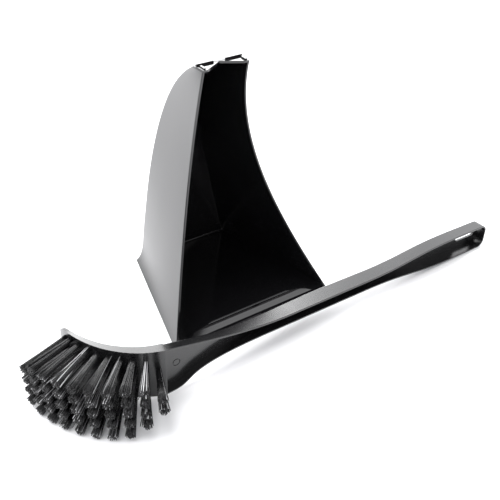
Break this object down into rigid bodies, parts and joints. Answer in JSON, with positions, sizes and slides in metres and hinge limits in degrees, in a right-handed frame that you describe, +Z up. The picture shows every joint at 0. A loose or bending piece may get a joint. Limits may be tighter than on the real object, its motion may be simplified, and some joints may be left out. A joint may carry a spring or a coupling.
{
  "type": "dust pan and brush set",
  "caption": "Dust pan that stands on its base under a curved hood, with a long-handled brush whose curved head carries radiating tufts of black bristles.",
  "frame": {"origin": "On the ground below the middle of the whole set's bounding box", "axes": "+X along the pan's mouth and the brush's handle, from the bristles to the hanging slot; +Y from the pan's mouth to its back; +Z up"},
  "size_m": [0.5177, 0.2426, 0.2498],
  "materials": {
    "pan_plastic": "gloss",
    "brush_plastic": "satin",
    "bristle_nylon": "satin",
    "staple_steel": "satin"
  },
  "bodies": {
    "pan": {"pan_body": "pan_plastic"},
    "brush": {"brush_body": "brush_plastic", "tuft_staples": "staple_steel", "tuft_c01_r1": "bristle_nylon", "tuft_c01_r2": "bristle_nylon", "tuft_c01_r3": "bristle_nylon", "tuft_c01_r4": "bristle_nylon", "tuft_c02_r1": "bristle_nylon", "tuft_c02_r2": "bristle_nylon", "tuft_c02_r3": "bristle_nylon", "tuft_c02_r4": "bristle_nylon", "tuft_c02_r5": "bristle_nylon", "tuft_c03_r1": "bristle_nylon", "tuft_c03_r2": "bristle_nylon", "tuft_c03_r3": "bristle_nylon", "tuft_c03_r4": "bristle_nylon", "tuft_c03_r5": "bristle_nylon", "tuft_c04_r1": "bristle_nylon", "tuft_c04_r2": "bristle_nylon", "tuft_c04_r3": "bristle_nylon", "tuft_c04_r4": "bristle_nylon", "tuft_c04_r5": "bristle_nylon", "tuft_c05_r1": "bristle_nylon", "tuft_c05_r2": "bristle_nylon", "tuft_c05_r3": "bristle_nylon", "tuft_c05_r4": "bristle_nylon", "tuft_c05_r5": "bristle_nylon", "tuft_c06_r1": "bristle_nylon", "tuft_c06_r2": "bristle_nylon", "tuft_c06_r3": "bristle_nylon", "tuft_c06_r4": "bristle_nylon", "tuft_c06_r5": "bristle_nylon", "tuft_c07_r1": "bristle_nylon", "tuft_c07_r2": "bristle_nylon", "tuft_c07_r3": "bristle_nylon", "tuft_c07_r4": "bristle_nylon", "tuft_c07_r5": "bristle_nylon", "tuft_c08_r1": "bristle_nylon", "tuft_c08_r2": "bristle_nylon", "tuft_c08_r3": "bristle_nylon", "tuft_c08_r4": "bristle_nylon", "tuft_c08_r5": "bristle_nylon", "tuft_c09_r1": "bristle_nylon", "tuft_c09_r2": "bristle_nylon", "tuft_c09_r3": "bristle_nylon", "tuft_c09_r4": "bristle_nylon", "tuft_c10_r1": "bristle_nylon", "tuft_c10_r2": "bristle_nylon"}
  },
  "joints": [
    {"name": "brush_lift", "type": "slide", "parent": "pan", "child": "brush", "axis": [0, 0, 1], "range_m": [0, 0.35]}
  ]
}
